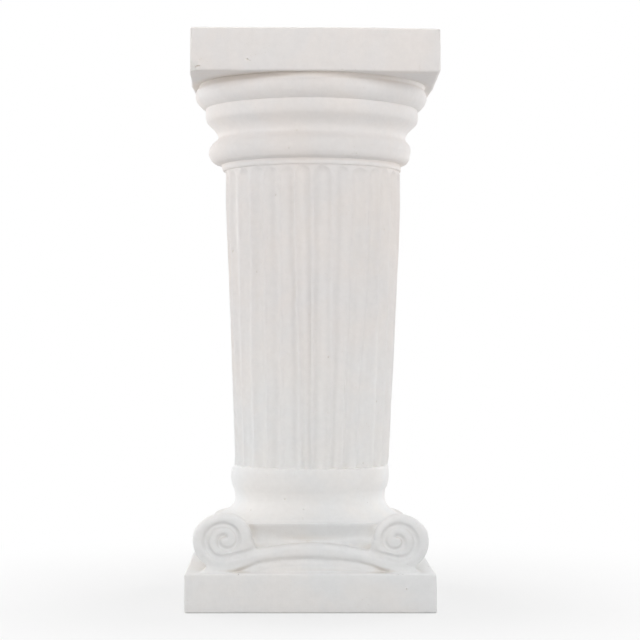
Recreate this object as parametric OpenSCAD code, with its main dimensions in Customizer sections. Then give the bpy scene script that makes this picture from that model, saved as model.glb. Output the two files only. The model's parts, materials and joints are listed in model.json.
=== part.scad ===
// Plaster pedestal column, cast in one piece. It stands with its scrolled
// capital down: square foot slab, scrolls, necking, fluted shaft that widens
// upwards, ringed mouldings and a square top slab. Millimetres, +Z up,
// origin at the middle of the foot. The front, with scrolls, faces -Y.

/* [Overall] */
// Height from the floor to the top of the upper slab
total_h = 700; // [560:1:900]
// Width and depth of both square slabs
slab_w = 300; // [286:1:380]
// Thickness of the foot slab
foot_slab_h = 47; // [30:1:80]
// Thickness of the top slab
top_slab_h = 53; // [30:1:80]
// Radius of the slabs' upright corners
slab_corner_r = 3; // [1:0.5:12]

/* [Shaft] */
// Shaft radius just under the upper mouldings
shaft_top_r = 111.5; // [95:0.5:118]
// Shaft radius just over the bead at its foot
shaft_foot_r = 98.5; // [85:0.5:105]
// Swelling of the shaft at mid height beyond a straight cone
entasis = 1; // [0:0.1:3]
// Number of flutes
flute_count = 30; // [16:1:36]
// Depth of a flute at the top of the shaft
flute_depth = 4.6; // [2:0.1:7]
// Width of the flat ridge between two flutes at the top of the shaft
ridge_w = 4; // [2:0.5:8]
// Plain shaft left above the round ends of the flutes
flute_head_gap = 2; // [0:0.5:10]

/* [Upper mouldings] */
// Radius of the narrow collar over the flutes
collar_r = 113.5; // [111:0.5:120]
// Height of the collar, with the curve under it
collar_h = 10; // [6:0.5:20]
// Outer radius of the lower roll
roll_r = 128; // [120:0.5:135]
// Half the height of the lower roll
roll_half_h = 14.5; // [10:0.5:20]
// Radius of the hollow over the lower roll
hollow_r = 119; // [112:0.5:125]
// Height of the short curve from the roll into the hollow
hollow_h = 8; // [5:0.5:15]
// Height of the curve from the hollow out to the middle ring
sweep_h = 26; // [15:1:40]
// Outer radius of the middle ring
middle_ring_r = 135; // [125:0.5:142]
// Height of the middle ring's face
middle_ring_h = 10; // [5:0.5:20]
// Outer radius of the upper ring
upper_ring_r = 147; // [140:0.5:150]
// Height of the upper ring
upper_ring_h = 25; // [18:0.5:35]
// Height of the thin groove between the upper ring and the top slab
groove_h = 4.5; // [2:0.5:8]
// Radius of the core in that groove
groove_r = 139.5; // [120:0.5:140]

/* [Capital] */
// Height from the foot slab up to the flare's lip
lip_h = 54; // [45:1:70]
// Radius of the flare's lip
lip_r = 127; // [115:0.5:132]
// Height of the flare from its lip to the necking
flare_h = 30; // [20:1:45]
// How sharply the flare turns out towards its lip
flare_power = 2.2; // [1.5:0.1:4]
// Radius of the necking between flare and bead
neck_r = 94.8; // [80:0.2:100]
// Outer radius of the bead under the flutes
bead_r = 100.5; // [90:0.5:110]
// Height of the bead
bead_h = 36; // [20:1:50]
// Distance of the recess between the scrolls from the column's axis
recess_y = 113; // [100:0.5:122]

/* [Scrolls] */
// Distance of a scroll's middle from the column's axis
scroll_x = 101; // [95:0.5:105]
// Height of a scroll's middle over the foot slab
scroll_z = 37; // [30:0.5:45]
// Radius of the rolled side behind a scroll
scroll_r = 38; // [32:0.5:42]
// Radius of the rolled side at its waist
waist_r = 27; // [22:0.5:38]
// Radius of the rolled side at its rear end
rear_r = 30; // [24:0.5:42]
// How much nearer to the middle the rear end stands than the front one
rear_in = 8.5; // [0:0.5:15]
// Length of the straight end behind a scroll
roll_end_l = 8; // [4:0.5:20]
// How far the rolled side steps in behind its straight ends
roll_step = 1; // [0.5:0.5:4]
// Rounding of the rolled side's ends
scroll_round = 8; // [2:0.5:12]
// Distance of a scroll's ground from the column's axis
scroll_face_y = 135; // [125:0.5:140]
// How far the scroll's ridge stands out of its ground
scroll_relief = 4.5; // [3:0.5:10]
// Radius of the ridge's middle line where it starts, from the scroll's middle
spiral_r = 32; // [26:0.5:36]
// Radius of the ridge's middle line where it ends
spiral_end_r = 10; // [7:0.5:14]
// Turns of the ridge from its start to its end
spiral_turns = 1.7; // [1:0.1:2.5]
// Width of the ridge where it starts
spiral_w = 11; // [6:0.5:14]
// Width of the ridge where it ends
spiral_end_w = 4.5; // [2:0.5:8]
// Radius of the eye
eye_r = 6; // [3:0.5:9]

/* [Arched bands] */
// Radius of the arched band's middle line
arch_r = 267; // [200:1:400]
// Height of the band's middle line over the foot slab, at its crown
arch_crown = 26.5; // [18:0.5:35]
// Width of the band
arch_w = 14; // [8:0.5:20]
// Gap between the band and the low panel under it
arch_gap = 7.5; // [4:0.5:14]
// How far the low panel lies behind the band's face
panel_back = 5.5; // [3:0.5:20]
// How far the gap's floor lies behind the low panel's face
gap_back = 4; // [1:0.5:10]

/* [Broken corner] */
// Height of the chip at the top slab's lower corner
chip_h = 22; // [5:1:40]
// Width of the chip along the front
chip_w = 13; // [4:1:30]
// Depth of the chip along the side
chip_d = 16; // [4:1:30]

/* [Hidden] */
$fn = 64;
plaster = [0.93, 0.92, 0.90];
// How far joined shapes run into each other
overlap = 1;
slab_half = slab_w / 2;
top_z = total_h - top_slab_h;
// Levels, from the foot slab up
lip_z = foot_slab_h + lip_h;
neck_z = lip_z + flare_h;
flute_z0 = neck_z + bead_h;
// The roll's arc ends this many degrees short of its top
roll_turn = 42;
// Levels, from the top slab down
upper_ring_z = top_z - groove_h - upper_ring_h;
middle_ring_z = upper_ring_z - middle_ring_h;
hollow_z = middle_ring_z - sweep_h;
roll_z = hollow_z - hollow_h - roll_half_h * cos(roll_turn);
collar_z = roll_z - roll_half_h - collar_h;
arc_steps = 8;
spiral_step = 15;
// Where a scroll's ridge starts, counted from straight outwards
spiral_start = -75;
lip_edge = 5;
core_r = recess_y - overlap;
// The rear ends of the rolled sides stand on the slab as the front ones do
rear_x = scroll_x - rear_in;
rear_z = scroll_z - scroll_r + rear_r;

// A share of the way along a smooth S, for t from 0 to 1
function ease(t) = (1 - cos(180 * t)) / 2;
// Shaft radius at t, from 0 at the bead to 1 at the collar
function shaft_r(t) = shaft_foot_r + (shaft_top_r - shaft_foot_r) * t
    + 4 * entasis * t * (1 - t);
// Points on a round or oval arc, in the order of its angles
function arc(c, rx, rz, from, to, n = arc_steps) =
    [for (i = [0:n]) let (a = from + (to - from) * i / n) [c[0] + rx * cos(a), c[1] + rz * sin(a)]];

// Outline of the turned body from foot to top
function shaft_points() =
    [for (i = [0:arc_steps]) let (t = i / arc_steps)
        [shaft_r(t), flute_z0 + (collar_z - flute_z0) * t]];
function flare_points() =
    [for (i = [0:arc_steps]) let (t = 1 - i / arc_steps)
        [neck_r + (lip_r - neck_r) * pow(t, flare_power), neck_z - flare_h * t]];
function bead_points() =
    [for (i = [1:arc_steps - 1]) let (t = i / arc_steps)
        [t < 0.5 ? neck_r + (bead_r - neck_r) * ease(2 * t)
                 : shaft_foot_r + (bead_r - shaft_foot_r) * ease(2 - 2 * t),
         neck_z + bead_h * t]];
function collar_points() =
    [[collar_r, collar_z + collar_h * 0.4], [collar_r, collar_z + collar_h]];
function roll_points() =
    arc([roll_r - roll_half_h, roll_z], roll_half_h, roll_half_h, -85, 90 - roll_turn);
function sweep_points() =
    [for (i = [0:arc_steps]) let (t = i / arc_steps)
        [hollow_r + (middle_ring_r - hollow_r) * ease(t), hollow_z + sweep_h * t]];
function upper_ring_points() =
    arc([upper_ring_r - upper_ring_h / 2, upper_ring_z + upper_ring_h / 2],
        upper_ring_h / 2, upper_ring_h / 2, -80, 62);

module turned_body() {
    rotate_extrude() polygon(concat(
        [[0, foot_slab_h / 2], [core_r, foot_slab_h / 2], [core_r, lip_z - 2 * lip_edge],
         [lip_r - lip_edge, lip_z - lip_edge]],
        flare_points(), bead_points(), shaft_points(), collar_points(), roll_points(),
        sweep_points(), [[middle_ring_r, upper_ring_z]], upper_ring_points(),
        [[groove_r, top_z - groove_h], [groove_r, total_h - top_slab_h / 2],
         [0, total_h - top_slab_h / 2]]));
}

// Square slab with slightly rounded upright corners
module slab(h) {
    inner = slab_half - slab_corner_r;
    linear_extrude(h) {
        square([slab_w, 2 * inner], center = true);
        square([2 * inner, slab_w], center = true);
        for (x = [-1, 1], y = [-1, 1]) translate([x * inner, y * inner]) circle(slab_corner_r);
    }
}

// One flute as a solid: a tapered rod with a round head, laid along the shaft
module flute() {
    pitch = 360 / flute_count;
    taper = shaft_foot_r / shaft_top_r;
    chord = 2 * shaft_top_r * sin(pitch / 2) - ridge_w;
    head_r = (chord * chord / 4 + flute_depth * flute_depth) / (2 * flute_depth);
    foot_r = head_r * taper;
    head_x = shaft_top_r + head_r - flute_depth;
    foot_x = shaft_foot_r + foot_r - flute_depth * taper;
    head_z = collar_z - flute_head_gap - chord / 2;
    rise = head_z - flute_z0;
    lean = atan2(head_x - foot_x, rise);
    long = rise / cos(lean);
    translate([foot_x, 0, flute_z0]) rotate([0, lean, 0]) rotate_extrude()
        polygon(concat([[0, 0], [foot_r, 0]], arc([0, long], head_r, chord / 2, 0, 90)));
}

module flutes() {
    for (i = [0:flute_count - 1]) rotate(i * 360 / flute_count) flute();
}

// Rolled side from the rear scroll to the larger front one, slimmer at its waist
module bolster() {
    steps = 2 * arc_steps;
    straight = scroll_face_y - scroll_round;
    long = 2 * scroll_face_y;
    translate([(scroll_x + rear_x) / 2, 0, foot_slab_h + (scroll_z + rear_z) / 2])
        rotate([90 - atan((scroll_z - rear_z) / long), 0, atan((scroll_x - rear_x) / long)])
        rotate_extrude() polygon(concat([[0, -straight]],
            [for (i = [0:steps]) let (t = 2 * i / steps - 1, end_r = (t < 0 ? rear_r : scroll_r) - roll_step)
                [waist_r + (end_r - waist_r) * ease(abs(t)), straight * t]],
            [[0, straight]]));
}

// Straight end of the rolled side at the front, with its middle at x and at z over the slab
module roll_end(x, z, r) {
    straight = scroll_face_y - scroll_round;
    translate([x, 0, foot_slab_h + z]) rotate([90, 0, 0]) rotate_extrude()
        intersection() {
            translate([0, straight - roll_end_l]) square([r, roll_end_l + scroll_round]);
            union() {
                translate([0, straight - roll_end_l]) square([r, roll_end_l]);
                square([r - scroll_round, scroll_face_y]);
                translate([r - scroll_round, straight]) circle(scroll_round);
            }
        }
}

// Outline of a scroll's ridge, winding from below round the outside to the eye
function spiral_side(side, size) =
    [for (a = [0:spiral_step:360 * spiral_turns]) let (
        t = a / (360 * spiral_turns),
        w = spiral_w + (spiral_end_w - spiral_w) * t,
        r = (spiral_r + (spiral_end_r - spiral_r) * t + side * w / 2) * size)
        [r * cos(a + spiral_start), r * sin(a + spiral_start)]];
function reversed(list) = [for (i = [len(list) - 1:-1:0]) list[i]];

// Scroll at the right of the front, with its middle at x and at z over the slab
module scroll(x, z, size) {
    face = scroll_face_y - scroll_relief;
    translate([x, -face, foot_slab_h + z])
        rotate([90, 0, 0]) linear_extrude(2 * scroll_relief) {
            polygon(concat(spiral_side(1, size), reversed(spiral_side(-1, size))));
            circle(eye_r * size);
        }
}

// Part of a flat ring standing on the foot slab, in the plane of the front
module arch_plate(outer, inner, face) {
    centre = foot_slab_h + arch_crown - arch_r;
    rotate([90, 0, 0]) linear_extrude(face) intersection() {
        difference() {
            translate([0, centre]) circle(outer, $fn = 200);
            translate([0, centre]) circle(inner, $fn = 200);
        }
        translate([-slab_half, foot_slab_h - overlap]) square([slab_w, 2 * arch_crown]);
    }
}

// Arched band, the low panel under it and the floor of the gap between them, on the front
module arched_bands() {
    band_face = scroll_face_y + scroll_relief - overlap;
    panel_r = arch_r - arch_w / 2 - arch_gap;
    arch_plate(arch_r + arch_w / 2, arch_r - arch_w / 2, band_face);
    arch_plate(panel_r, arch_r / 2, band_face - panel_back);
    arch_plate(arch_r, arch_r / 2, band_face - panel_back - gap_back);
}

// Block that fills the capital between its scrolls, behind the recesses
module recess_block() {
    high = lip_z - lip_edge - foot_slab_h + overlap;
    translate([-scroll_x, -recess_y, foot_slab_h - overlap]) cube([2 * scroll_x, 2 * recess_y, high]);
}

module capital() {
    recess_block();
    for (side = [0, 1]) mirror([side, 0, 0]) {
        bolster();
        roll_end(scroll_x, scroll_z, scroll_r);
        scroll(scroll_x, scroll_z, 1);
        mirror([0, 1, 0]) {
            roll_end(rear_x, rear_z, rear_r);
            scroll(rear_x, rear_z, rear_r / scroll_r);
        }
    }
    for (turn = [0, 180]) rotate(turn) arched_bands();
}

// Wedge that breaks off the top slab's lower front corner at the left
module chip() {
    reach = 3;
    translate([-slab_half, -slab_half, top_z]) polyhedron(
        points = [[-reach, -reach, -reach], [chip_w * 1.2, -reach, -reach],
                  [-reach, chip_d * 1.2, -reach], [-reach, -reach, chip_h * 1.2]],
        faces = [[0, 1, 2], [0, 3, 1], [0, 2, 3], [1, 3, 2]]);
}

module column() {
    color(plaster) difference() {
        union() {
            turned_body();
            slab(foot_slab_h);
            translate([0, 0, top_z]) slab(top_slab_h);
            capital();
        }
        flutes();
        chip();
    }
}

column();
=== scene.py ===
"""Plaster pedestal column, cast in one piece and standing with its scrolled capital down.

Run as a script, it makes the casting and the stage round the loaded frame.
Every size is in metres on the properties, and in millimetres inside the makers' sums.
"""

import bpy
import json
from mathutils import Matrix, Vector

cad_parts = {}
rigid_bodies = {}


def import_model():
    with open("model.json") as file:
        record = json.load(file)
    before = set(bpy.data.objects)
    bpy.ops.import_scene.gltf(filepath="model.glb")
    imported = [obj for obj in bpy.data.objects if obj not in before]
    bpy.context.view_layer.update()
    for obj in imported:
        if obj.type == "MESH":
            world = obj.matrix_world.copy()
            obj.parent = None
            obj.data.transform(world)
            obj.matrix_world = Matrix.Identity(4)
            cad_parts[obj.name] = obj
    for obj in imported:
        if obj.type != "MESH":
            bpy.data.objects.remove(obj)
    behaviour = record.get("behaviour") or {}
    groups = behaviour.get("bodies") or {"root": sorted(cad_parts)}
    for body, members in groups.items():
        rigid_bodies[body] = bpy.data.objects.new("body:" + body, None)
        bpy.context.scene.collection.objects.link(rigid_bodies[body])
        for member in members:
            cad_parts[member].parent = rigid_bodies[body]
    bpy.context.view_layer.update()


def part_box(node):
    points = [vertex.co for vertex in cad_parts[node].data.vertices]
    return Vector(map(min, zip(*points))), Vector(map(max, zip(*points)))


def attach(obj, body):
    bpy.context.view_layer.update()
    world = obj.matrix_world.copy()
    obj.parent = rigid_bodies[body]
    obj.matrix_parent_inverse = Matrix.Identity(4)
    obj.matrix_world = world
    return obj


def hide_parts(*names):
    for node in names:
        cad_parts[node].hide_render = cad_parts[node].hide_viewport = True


bl_info = {
    "name": "Plaster pedestal column",
    "version": (1, 0, 0),
    "blender": (4, 5, 0),
    "location": "View3D > Sidebar > Column",
    "description": "Makes a cast plaster column with a fluted shaft, ringed mouldings and a scrolled capital",
    "category": "Add Mesh",
}

import json
import math

import bmesh
import bpy
import numpy as np
import openvdb
from bpy.props import FloatProperty, FloatVectorProperty, IntProperty, PointerProperty
from mathutils import Vector
from mathutils.bvhtree import BVHTree

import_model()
LOW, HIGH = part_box("column")

MM = 0.001
HALF_WIDTH = (HIGH.x - LOW.x) / 2
HEIGHT = HIGH.z - LOW.z


# Sizes and colours

def length(name, description, default):
    """A length in metres."""
    return FloatProperty(name=name, description=description, default=default, unit="LENGTH")


def tint(name, description, default):
    """A colour."""
    return FloatVectorProperty(name=name, description=description, subtype="COLOR", size=3, default=default)


class SlabSizes(bpy.types.PropertyGroup):
    half_width: length("Half width", "Half the width of both square slabs", HALF_WIDTH)
    foot_height: length("Foot slab height", "Thickness of the slab on the floor", 0.047)
    top_height: length("Top slab height", "Thickness of the slab at the top", 0.052)
    edge: length("Edge rounding", "Radius of the slabs' worn edges", 0.0026)
    cell: length("Cell", "Size of the faces on the slabs' flats", 0.010)


class ShaftSizes(bpy.types.PropertyGroup):
    foot_radius: length("Foot radius", "Radius over the ridges at the bead", 0.0974)
    top_radius: length("Top radius", "Radius over the ridges under the collar", 0.1106)
    straight_from: length("Straight from", "Height where the shaft stops widening", 0.480)
    foot_level: length("Foot level", "Height of the flutes' feet", 0.167)
    head_level: length("Head level", "Height of the tops of the flutes", 0.5377)
    flutes: IntProperty(name="Flutes", description="Number of flutes", default=30, min=8)
    depth: length("Flute depth", "Depth of a flute at the top", 0.0054)
    ridge: length("Ridge width", "Width of the ridge between two flutes", 0.0040)
    seed: FloatProperty(name="Seed", description="Seed of the flutes' unevenness", default=4.0)


class MouldingSizes(bpy.types.PropertyGroup):
    collar_radius: length("Collar radius", "Radius of the thin collar over the flutes", 0.1136)
    roll_radius: length("Roll radius", "Outer radius of the lower roll", 0.128)
    hollow_radius: length("Hollow radius", "Radius of the hollow over the roll", 0.119)
    middle_radius: length("Middle ring radius", "Outer radius of the middle ring", 0.135)
    upper_radius: length("Upper ring radius", "Outer radius of the upper ring", 0.147)
    sides: IntProperty(name="Sides", description="Faces round the mouldings", default=216, min=24)


class CapitalSizes(bpy.types.PropertyGroup):
    neck_radius: length("Neck radius", "Radius of the necking", 0.0948)
    bead_radius: length("Bead radius", "Radius of the bead under the flutes", 0.1000)
    lip_radius: length("Lip radius", "Radius of the flare's lip", 0.127)
    scroll_radius: length("Scroll radius", "Radius of the rolled sides at the front", 0.0387)
    waist_radius: length("Waist radius", "Radius of the rolled sides at their waist", 0.027)
    rear_radius: length("Rear radius", "Radius of the rolled sides at the rear", 0.0275)
    ground: length("Scroll ground", "Distance of a scroll's ground from the axis", 0.135)
    relief: length("Relief", "How far the scrolls stand out of their ground", 0.0045)
    arch_radius: length("Arch radius", "Radius of the arched band's middle line", 0.267)
    arch_crown: length("Arch crown", "Height of the band's middle line at its crown", 0.0737)
    arch_width: length("Arch width", "Width of the arched band", 0.014)
    blend: length("Blend", "How softly the flare runs onto the rolled sides", 0.007)
    voxel: length("Fineness", "Grid size that the capital is shaped on", 0.00125)


class CastingMarks(bpy.types.PropertyGroup):
    lean: length("Lean", "How far the sections stand off the axis", 0.0040)
    spread: FloatProperty(
        name="Spread", description="How strongly the top slab spreads to its back", default=0.9)
    askew: length("Askew", "How far the foot's back stands to the left", 0.0060)
    droop: length("Droop", "How far the top slab's right side hangs", 0.0015)
    uneven: length("Unevenness", "Height of the swells in the cast surface", 0.0009)
    pinholes: FloatProperty(
        name="Pinholes", description="Air holes in each square metre", default=70.0)
    knocks: IntProperty(
        name="Knocks", description="Draws of small knocks along the slabs' edges, three in four of them made",
        default=26, min=0)
    seed: IntProperty(name="Seed", description="Seed of the scattered marks", default=11)


class PlasterLook(bpy.types.PropertyGroup):
    body: tint("Plaster", "Colour of the plaster", (0.855, 0.836, 0.817))
    cool: tint("Cool patches", "Colour of the cooler patches", (0.828, 0.830, 0.829))
    # Dust colour that also paints the shade in the recesses, more where a point is more closed in; the pits
    # take it too
    dust_and_shade: tint("Dust", "Colour of the dust in the recesses", (0.655, 0.585, 0.495))
    aged: tint("Aged tint", "Tint that the plaster has taken on towards the top", (1.0, 0.968, 0.955))
    # Broken plaster's colour, darkened to paint the shade that falls on the chip's break
    fracture_and_shade: tint("Fracture", "Colour of freshly broken plaster", (0.79, 0.768, 0.735))
    roughness: FloatProperty(name="Roughness", description="Roughness of the plaster", default=0.78)


class StageSettings(bpy.types.PropertyGroup):
    distance: length("Camera distance", "From the camera to the column's axis", 2.4)
    height: length("Camera height", "Height of the camera over the floor", 0.326)
    side: length("Camera side", "How far the camera stands to the right", 0.010)
    lens: FloatProperty(name="Lens", description="Focal length", default=106.1, unit="CAMERA")
    pitch: FloatProperty(
        name="Pitch", description="How far the camera looks up", default=math.radians(0.6), subtype="ANGLE")
    sky: FloatProperty(name="Room light", description="Strength of the even light of the room", default=0.02)


# Helpers

def checked(mesh, problem):
    """Stops the work if a mesh came out all but empty."""
    if len(mesh.polygons) < 1000:
        raise RuntimeError(problem)


def put(name, mesh):
    """Puts a mesh in the scene as an object of this name, in place of an older one."""
    old = bpy.data.objects.get(name)
    if old:
        bpy.data.objects.remove(old, do_unlink=True)
    mesh.name = name
    obj = bpy.data.objects.new(name, mesh)
    bpy.context.scene.collection.objects.link(obj)
    return obj


def mesh_of(points, faces):
    """Makes a mesh from points in metres."""
    mesh = bpy.data.meshes.new("work")
    mesh.from_pydata(points, [], faces)
    mesh.validate()
    return mesh


def applied(obj):
    """Returns the mesh of an object with its modifiers applied."""
    bpy.context.view_layer.update()
    graph = bpy.context.evaluated_depsgraph_get()
    graph.update()
    return bpy.data.meshes.new_from_object(obj.evaluated_get(graph), depsgraph=graph)


def rework(obj):
    """Applies an object's modifiers in place."""
    mesh = applied(obj)
    obj.modifiers.clear()
    old = obj.data
    obj.data = mesh
    bpy.data.meshes.remove(old)
    return obj


def step(low, high, x):
    """Smooth rise from 0 at low to 1 at high."""
    t = np.clip((x - low) / (high - low), 0, 1)
    return t * t * (3 - 2 * t)


def curve_through(points, spacing):
    """Points on a smooth curve through the given ones."""
    pts = np.array(points, float)
    pts = np.vstack([2 * pts[0] - pts[1], pts, 2 * pts[-1] - pts[-2]])
    out = []
    for i in range(1, len(pts) - 2):
        p0, p1, p2, p3 = pts[i - 1:i + 3]
        count = max(2, int(round(np.linalg.norm(p2 - p1) / spacing)))
        for k in range(count):
            t = k / count
            out.append(0.5 * (2 * p1 + (p2 - p0) * t + (2 * p0 - 5 * p1 + 4 * p2 - p3) * t * t
                              + (3 * p1 - p0 - 3 * p2 + p3) * t ** 3))
    out.append(pts[-2])
    return [tuple(p) for p in out]


def turned(profile, sides):
    """Turns a profile of radius and height, in millimetres, into a closed solid."""
    angles = np.linspace(0, 2 * math.pi, sides, endpoint=False)
    points = [(r * math.cos(a) * MM, r * math.sin(a) * MM, z * MM) for r, z in profile for a in angles]
    faces = []
    last = (len(profile) - 1) * sides
    for ring in range(0, last, sides):
        for k in range(sides):
            n = (k + 1) % sides
            faces.append((ring + k, ring + n, ring + sides + n, ring + sides + k))
    low, high = len(points), len(points) + 1
    points += [(0, 0, profile[0][1] * MM), (0, 0, profile[-1][1] * MM)]
    for k in range(sides):
        n = (k + 1) % sides
        faces.append((low, n, k))
        faces.append((high, last + k, last + n))
    return mesh_of(points, faces)


def outward(mesh):
    """Turns the faces of a closed mesh outwards."""
    shape = bmesh.new()
    shape.from_mesh(mesh)
    bmesh.ops.recalc_face_normals(shape, faces=shape.faces)
    if shape.calc_volume(signed=True) < 0:
        bmesh.ops.reverse_faces(shape, faces=shape.faces)
    shape.to_mesh(mesh)
    shape.free()
    return mesh


def dress(mesh, *materials):
    """Gives a mesh these materials, with the first one on all its faces."""
    mesh.materials.clear()
    for material in materials:
        mesh.materials.append(material)
    mesh.polygons.foreach_set("material_index", np.zeros(len(mesh.polygons), dtype=np.int32))


def combine(obj, names, operation):
    """Joins closed shells to an object, or cuts them out of it, and removes them."""
    for name in names:
        modifier = obj.modifiers.new(name, "BOOLEAN")
        modifier.operation = operation
        modifier.solver = "MANIFOLD"
        modifier.object = bpy.data.objects[name]
    rework(obj)
    for name in names:
        bpy.data.objects.remove(bpy.data.objects[name], do_unlink=True)


def rounded_box(low, high, edge, cell):
    """Makes a box with rounded edges, with its flats cut into cells."""
    low, high = np.array(low, float), np.array(high, float)
    middle, half = (low + high) / 2, (high - low) / 2
    lines = []
    for h in half:
        turn = h - edge * np.array([0.0, 0.35, 0.7, 1.0])
        flat = np.linspace(-(h - edge), h - edge, max(2, int(round(2 * (h - edge) / cell))) + 1)
        lines.append(np.unique(np.round(np.concatenate([-turn, flat, turn]), 9)))
    mesh = bmesh.new()
    for axis in range(3):
        u, v = [k for k in range(3) if k != axis]
        for side in (-1, 1):
            grid = []
            for a in lines[u]:
                row = []
                for b in lines[v]:
                    p = np.zeros(3)
                    p[axis], p[u], p[v] = side * half[axis], a, b
                    core = np.clip(p, -(half - edge), half - edge)
                    out = p - core
                    size = np.linalg.norm(out)
                    row.append(mesh.verts.new(middle + core + out / size * edge))
                grid.append(row)
            for i in range(len(grid) - 1):
                for k in range(len(grid[0]) - 1):
                    mesh.faces.new((grid[i][k], grid[i + 1][k], grid[i + 1][k + 1], grid[i][k + 1]))
    bmesh.ops.remove_doubles(mesh, verts=mesh.verts, dist=edge * 0.02)
    bmesh.ops.recalc_face_normals(mesh, faces=mesh.faces)
    out = bpy.data.meshes.new("work")
    mesh.to_mesh(out)
    mesh.free()
    return out


# Node wiring

class Wiring:
    """Places nodes in a tree and joins them."""

    def __init__(self, tree):
        self.tree = tree
        self.made = 0

    def node(self, kind, inputs=None, **settings):
        made = self.tree.nodes.new(kind)
        made.location = (180 * (self.made % 12), -220 * (self.made // 12))
        self.made += 1
        for key, value in settings.items():
            setattr(made, key, value)
        for key, value in (inputs or {}).items():
            self.feed(made.inputs[key], value)
        return made

    def feed(self, socket, value):
        if isinstance(value, bpy.types.NodeSocket):
            self.tree.links.new(value, socket)
        else:
            socket.default_value = value

    def sum(self, operation, *values, clamp=False):
        """A Math node's output."""
        made = self.node("ShaderNodeMath", operation=operation, use_clamp=clamp)
        for socket, value in zip(made.inputs, values):
            self.feed(socket, value)
        return made.outputs[0]

    def vector(self, operation, *values):
        """A Vector Math node's output."""
        made = self.node("ShaderNodeVectorMath", operation=operation)
        for socket, value in zip([s for s in made.inputs if s.enabled], values):
            self.feed(socket, value)
        return [s for s in made.outputs if s.enabled][0]

    def span(self, value, low, high, to_low, to_high, smooth=False):
        """A Map Range node's output."""
        made = self.node("ShaderNodeMapRange", interpolation_type="SMOOTHSTEP" if smooth else "LINEAR")
        for socket, item in zip(made.inputs, (value, low, high, to_low, to_high)):
            self.feed(socket, item)
        return made.outputs[0]

    def noise(self, place, scale, detail, seed=None, **inputs):
        """A Noise Texture node's value, in four dimensions where it has a seed."""
        inputs.update(Vector=place, Scale=scale, Detail=detail)
        if seed is None:
            return self.node("ShaderNodeTexNoise", inputs).outputs[0]
        inputs["W"] = seed
        return self.node("ShaderNodeTexNoise", inputs, noise_dimensions="4D").outputs[0]

    def chance(self, low, high, seed, number=None):
        """A Random Value node's output, for each element or for this number."""
        made = self.node("FunctionNodeRandomValue", data_type="FLOAT")
        draw = [s for s in made.inputs if s.enabled]
        for socket, value in zip(draw, (low, high, number, seed)):
            if value is not None:
                self.feed(socket, value)
        return [s for s in made.outputs if s.enabled][0]

    def curve(self, value, points):
        """A Float Curve node's output, through the given points."""
        made = self.node("ShaderNodeFloatCurve")
        line = made.mapping.curves[0]
        for index, (x, y) in enumerate(points):
            if index < 2:
                line.points[index].location = (x, y)
            else:
                line.points.new(x, y)
        made.mapping.update()
        self.feed(made.inputs["Value"], value)
        return made.outputs[0]

    def mix(self, factor, a, b, blend="MIX"):
        """A colour Mix node's output."""
        made = self.node("ShaderNodeMix", data_type="RGBA", blend_type=blend)
        self.feed(made.inputs[0], factor)
        self.feed(made.inputs[6], a)
        self.feed(made.inputs[7], b)
        return made.outputs[2]


KINDS = {"float": "NodeSocketFloat", "int": "NodeSocketInt", "color": "NodeSocketColor",
         "vector": "NodeSocketVector", "geometry": "NodeSocketGeometry", "material": "NodeSocketMaterial"}


def new_tree(name, kind, inputs, outputs):
    """Makes a node tree with named sockets and returns it with its wiring and its two ends."""
    old = bpy.data.node_groups.get(name)
    if old:
        bpy.data.node_groups.remove(old)
    tree = bpy.data.node_groups.new(name, kind)
    for label, sort, default in inputs:
        socket = tree.interface.new_socket(name=label, in_out="INPUT", socket_type=KINDS[sort])
        if default is not None:
            socket.default_value = default
    for label, sort in outputs:
        tree.interface.new_socket(name=label, in_out="OUTPUT", socket_type=KINDS[sort])
    wire = Wiring(tree)
    return tree, wire, wire.node("NodeGroupInput"), wire.node("NodeGroupOutput")


def close_tree(wire, end, geometry, material):
    """Ends a geometry tree: instances made real, and the material set."""
    whole = wire.node("GeometryNodeRealizeInstances", {"Geometry": geometry})
    painted = wire.node("GeometryNodeSetMaterial", {"Geometry": whole.outputs[0], "Material": material})
    wire.feed(end.inputs["Geometry"], painted.outputs[0])


def add_nodes(obj, tree, **values):
    """Adds a Geometry Nodes modifier, with its inputs given by name."""
    modifier = obj.modifiers.new(tree.name, "NODES")
    modifier.node_group = tree
    for socket in tree.interface.items_tree:
        if socket.item_type == "SOCKET" and socket.in_out == "INPUT":
            key = socket.name.lower().replace(" ", "_")
            if key in values:
                modifier[socket.identifier] = values[key]
    return modifier


# Plaster

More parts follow.
